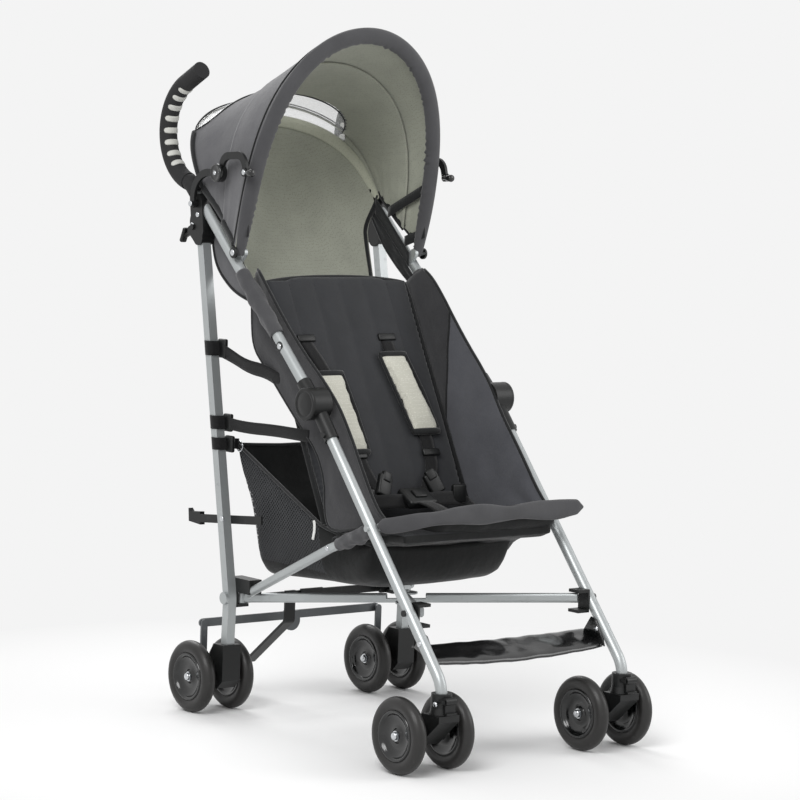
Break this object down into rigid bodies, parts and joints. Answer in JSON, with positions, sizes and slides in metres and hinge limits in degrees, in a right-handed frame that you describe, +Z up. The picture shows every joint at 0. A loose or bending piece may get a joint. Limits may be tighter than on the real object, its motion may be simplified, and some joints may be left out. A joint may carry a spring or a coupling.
{
  "type": "umbrella stroller",
  "caption": "Lightweight umbrella stroller with folding scissor frame, twin swivel wheels, sling seat, reclining back, canopy, shopping basket and linked rear brake.",
  "frame": {"origin": "on the floor, under the middle of the bounding box", "axes": "+Z up, -Y the way the child faces, +X the child's left"},
  "size_m": [0.49, 0.8161, 1.142],
  "materials": {
    "tyre": "moulded black tyre and dished hub",
    "steel": "zinc-bright steel",
    "frame_silver": "silver powder coat",
    "black_plastic": "satin black moulding",
    "gloss_black": "glossy black moulding",
    "brake_grey": "dark grey strip",
    "foam": "foam grip",
    "canopy_cloth": "mid grey woven cloth",
    "seat_cloth": "grey woven cloth",
    "back_cloth": "charcoal padded cloth",
    "harness_cloth": "pale padded covers on black webbing",
    "basket_cloth": "black cloth"
  },
  "bodies": {
    "seat_unit": {"seat": "seat_cloth", "basket": "basket_cloth", "canopy_rear": "canopy_cloth", "footrest": "gloss_black"},
    "hood": {"canopy": "canopy_cloth", "canopy_bow": "black_plastic"},
    "backrest_unit": {"backrest": "back_cloth", "harness": "harness_cloth"},
    "left_frame": {"left_front_leg": "frame_silver", "left_handle_tube": "frame_silver", "left_grip": "foam", "left_elbow": "gloss_black", "left_top_bracket": "black_plastic", "left_rear_leg": "frame_silver", "left_seat_tube": "frame_silver", "left_rear_clevis": "black_plastic", "left_leg_socket": "black_plastic", "left_rear_fork": "black_plastic", "left_front_yoke": "black_plastic", "rear_left_axle": "steel"},
    "left_caster": {"left_caster_fork": "gloss_black", "front_left_axle": "steel"},
    "front_left_outer_wheel": {"front_left_outer_wheel": "tyre"},
    "rear_left_outer_wheel": {"rear_left_outer_wheel": "tyre"},
    "front_left_inner_wheel": {"front_left_inner_wheel": "tyre"},
    "rear_left_inner_wheel": {"rear_left_inner_wheel": "tyre"},
    "left_swivel_lock": {"left_swivel_lock": "black_plastic"},
    "left_x_bar": {"left_x_bar": "frame_silver"},
    "left_rear_brace": {"left_rear_brace": "black_plastic"},
    "left_brake_link": {"left_brake_link": "brake_grey"},
    "left_brake_bar": {"left_brake_bar": "brake_grey"},
    "left_strut_lower": {"left_strut_lower": "black_plastic"},
    "left_strut_upper": {"left_strut_upper": "black_plastic"},
    "right_frame": {"right_front_leg": "frame_silver", "right_handle_tube": "frame_silver", "right_grip": "foam", "right_elbow": "gloss_black", "right_top_bracket": "black_plastic", "right_rear_leg": "frame_silver", "right_seat_tube": "frame_silver", "right_rear_clevis": "black_plastic", "right_leg_socket": "black_plastic", "right_rear_fork": "black_plastic", "right_front_yoke": "black_plastic", "rear_right_axle": "steel"},
    "right_caster": {"right_caster_fork": "gloss_black", "front_right_axle": "steel"},
    "front_right_outer_wheel": {"front_right_outer_wheel": "tyre"},
    "rear_right_outer_wheel": {"rear_right_outer_wheel": "tyre"},
    "front_right_inner_wheel": {"front_right_inner_wheel": "tyre"},
    "rear_right_inner_wheel": {"rear_right_inner_wheel": "tyre"},
    "right_swivel_lock": {"right_swivel_lock": "black_plastic"},
    "right_x_bar": {"right_x_bar": "frame_silver"},
    "right_rear_brace": {"right_rear_brace": "black_plastic"},
    "right_brake_link": {"right_brake_link": "brake_grey"},
    "right_brake_bar": {"right_brake_bar": "brake_grey"},
    "right_strut_lower": {"right_strut_lower": "black_plastic"},
    "right_strut_upper": {"right_strut_upper": "black_plastic"},
    "foot_lever": {"foot_lever": "black_plastic"},
    "transport_hook": {"transport_hook": "black_plastic"}
  },
  "joints": [
    {"name": "fold", "type": "slide", "parent": "seat_unit", "child": "left_frame", "axis": [-1, 0, 0], "range_m": [0, 0.09], "deforming": ["seat", "basket", "footrest", "canopy", "canopy_rear", "canopy_bow", "backrest", "harness"]},
    {"name": "fold_right", "type": "slide", "parent": "seat_unit", "child": "right_frame", "axis": [1, 0, 0], "range_m": [0, 0.09]},
    {"name": "left_caster_swivel", "type": "hinge", "parent": "left_frame", "child": "left_caster", "pos_m": [0.186, -0.382, 0.1], "axis": [0, 0, 1], "continuous": true},
    {"name": "front_left_outer_wheel_spin", "type": "hinge", "parent": "left_caster", "child": "front_left_outer_wheel", "pos_m": [0.186, -0.341, 0.06], "axis": [1, 0, 0], "continuous": true},
    {"name": "rear_left_outer_wheel_spin", "type": "hinge", "parent": "left_frame", "child": "rear_left_outer_wheel", "pos_m": [0.186, 0.223, 0.06], "axis": [1, 0, 0], "continuous": true},
    {"name": "front_left_inner_wheel_spin", "type": "hinge", "parent": "left_caster", "child": "front_left_inner_wheel", "pos_m": [0.186, -0.341, 0.06], "axis": [1, 0, 0], "continuous": true},
    {"name": "rear_left_inner_wheel_spin", "type": "hinge", "parent": "left_frame", "child": "rear_left_inner_wheel", "pos_m": [0.186, 0.223, 0.06], "axis": [1, 0, 0], "continuous": true},
    {"name": "left_swivel_lock_lift", "type": "hinge", "parent": "left_frame", "child": "left_swivel_lock", "pos_m": [0.186, -0.401, 0.118], "axis": [-1, 0, 0], "range_deg": [0, 10]},
    {"name": "left_x_bar_turn", "type": "hinge", "parent": "left_frame", "child": "left_x_bar", "pos_m": [0.162, 0.176, 0.194], "axis": [0, 0, 1], "range_deg": [0, 19.92]},
    {"name": "left_rear_brace_lift", "type": "hinge", "parent": "left_frame", "child": "left_rear_brace", "pos_m": [0.15, 0.203, 0.187], "axis": [0, 1, 0], "range_deg": [0, 66.47]},
    {"name": "brake", "type": "slide", "parent": "left_frame", "child": "left_brake_link", "axis": [0, 0, -1], "range_m": [0, 0.01]},
    {"name": "left_brake_bar_lift", "type": "hinge", "parent": "left_brake_link", "child": "left_brake_bar", "pos_m": [0.186, 0.253, 0.143], "axis": [0, 1, 0], "range_deg": [0, 58.98]},
    {"name": "left_strut_lower_turn", "type": "hinge", "parent": "left_frame", "child": "left_strut_lower", "pos_m": [0.203, 0.288, 0.844], "axis": [-1, 0, 0], "range_deg": [0, 52.72]},
    {"name": "left_strut_upper_turn", "type": "hinge", "parent": "left_strut_lower", "child": "left_strut_upper", "pos_m": [0.208, 0.203, 0.897], "axis": [1, 0, 0], "range_deg": [0, 97.91]},
    {"name": "right_caster_swivel", "type": "hinge", "parent": "right_frame", "child": "right_caster", "pos_m": [-0.186, -0.382, 0.1], "axis": [0, 0, 1], "continuous": true},
    {"name": "front_right_outer_wheel_spin", "type": "hinge", "parent": "right_caster", "child": "front_right_outer_wheel", "pos_m": [-0.186, -0.341, 0.06], "axis": [1, 0, 0], "continuous": true},
    {"name": "rear_right_outer_wheel_spin", "type": "hinge", "parent": "right_frame", "child": "rear_right_outer_wheel", "pos_m": [-0.186, 0.223, 0.06], "axis": [1, 0, 0], "continuous": true},
    {"name": "front_right_inner_wheel_spin", "type": "hinge", "parent": "right_caster", "child": "front_right_inner_wheel", "pos_m": [-0.186, -0.341, 0.06], "axis": [1, 0, 0], "continuous": true},
    {"name": "rear_right_inner_wheel_spin", "type": "hinge", "parent": "right_frame", "child": "rear_right_inner_wheel", "pos_m": [-0.186, 0.223, 0.06], "axis": [1, 0, 0], "continuous": true},
    {"name": "right_swivel_lock_lift", "type": "hinge", "parent": "right_frame", "child": "right_swivel_lock", "pos_m": [-0.186, -0.401, 0.118], "axis": [-1, 0, 0], "range_deg": [0, 10]},
    {"name": "right_x_bar_turn", "type": "hinge", "parent": "right_frame", "child": "right_x_bar", "pos_m": [-0.162, 0.176, 0.194], "axis": [0, 0, -1], "range_deg": [0, 19.92]},
    {"name": "right_rear_brace_lift", "type": "hinge", "parent": "right_frame", "child": "right_rear_brace", "pos_m": [-0.15, 0.203, 0.187], "axis": [0, -1, 0], "range_deg": [0, 66.47]},
    {"name": "brake_right", "type": "slide", "parent": "right_frame", "child": "right_brake_link", "axis": [0, 0, -1], "range_m": [0, 0.01]},
    {"name": "right_brake_bar_lift", "type": "hinge", "parent": "right_brake_link", "child": "right_brake_bar", "pos_m": [-0.186, 0.253, 0.143], "axis": [0, -1, 0], "range_deg": [0, 58.98]},
    {"name": "right_strut_lower_turn", "type": "hinge", "parent": "right_frame", "child": "right_strut_lower", "pos_m": [-0.203, 0.288, 0.844], "axis": [-1, 0, 0], "range_deg": [0, 52.72]},
    {"name": "right_strut_upper_turn", "type": "hinge", "parent": "right_strut_lower", "child": "right_strut_upper", "pos_m": [-0.208, 0.203, 0.897], "axis": [1, 0, 0], "range_deg": [0, 97.91]},
    {"name": "foot_lever_turn", "type": "hinge", "parent": "right_rear_brace", "child": "foot_lever", "pos_m": [-0.046, 0.198, 0.187], "axis": [0, 1, 0], "range_deg": [0, 66.47]},
    {"name": "transport_hook_turn", "type": "hinge", "parent": "right_frame", "child": "transport_hook", "pos_m": [-0.176, 0.19303, 0.326], "axis": [1, 0, 0], "range_deg": [0, 45]},
    {"name": "recline", "type": "hinge", "parent": "seat_unit", "child": "backrest_unit", "pos_m": [0, -0.03967, 0.32915], "axis": [-1, 0, 0], "range_deg": [0, 22]},
    {"name": "canopy_fold", "type": "hinge", "parent": "seat_unit", "child": "hood", "pos_m": [0, 0.173, 0.768], "axis": [-1, 0, 0], "range_deg": [0, 40]}
  ],
  "couplings": [
    {"joint": "fold_right", "follows": "fold", "ratio": 1},
    {"joint": "left_x_bar_turn", "follows": "fold", "rad_per_m": 3.8524},
    {"joint": "left_rear_brace_lift", "follows": "fold", "rad_per_m": 12.881},
    {"joint": "left_brake_bar_lift", "follows": "fold", "rad_per_m": 11.427},
    {"joint": "left_strut_lower_turn", "follows": "canopy_fold", "ratio": 1.3168},
    {"joint": "left_strut_upper_turn", "follows": "canopy_fold", "ratio": 2.4466},
    {"joint": "right_x_bar_turn", "follows": "fold", "rad_per_m": 3.8524},
    {"joint": "right_rear_brace_lift", "follows": "fold", "rad_per_m": 12.881},
    {"joint": "brake_right", "follows": "brake", "ratio": 1},
    {"joint": "right_brake_bar_lift", "follows": "fold", "rad_per_m": 11.427},
    {"joint": "right_strut_lower_turn", "follows": "canopy_fold", "ratio": 1.3168},
    {"joint": "right_strut_upper_turn", "follows": "canopy_fold", "ratio": 2.4466},
    {"joint": "foot_lever_turn", "follows": "fold", "rad_per_m": 12.881}
  ]
}
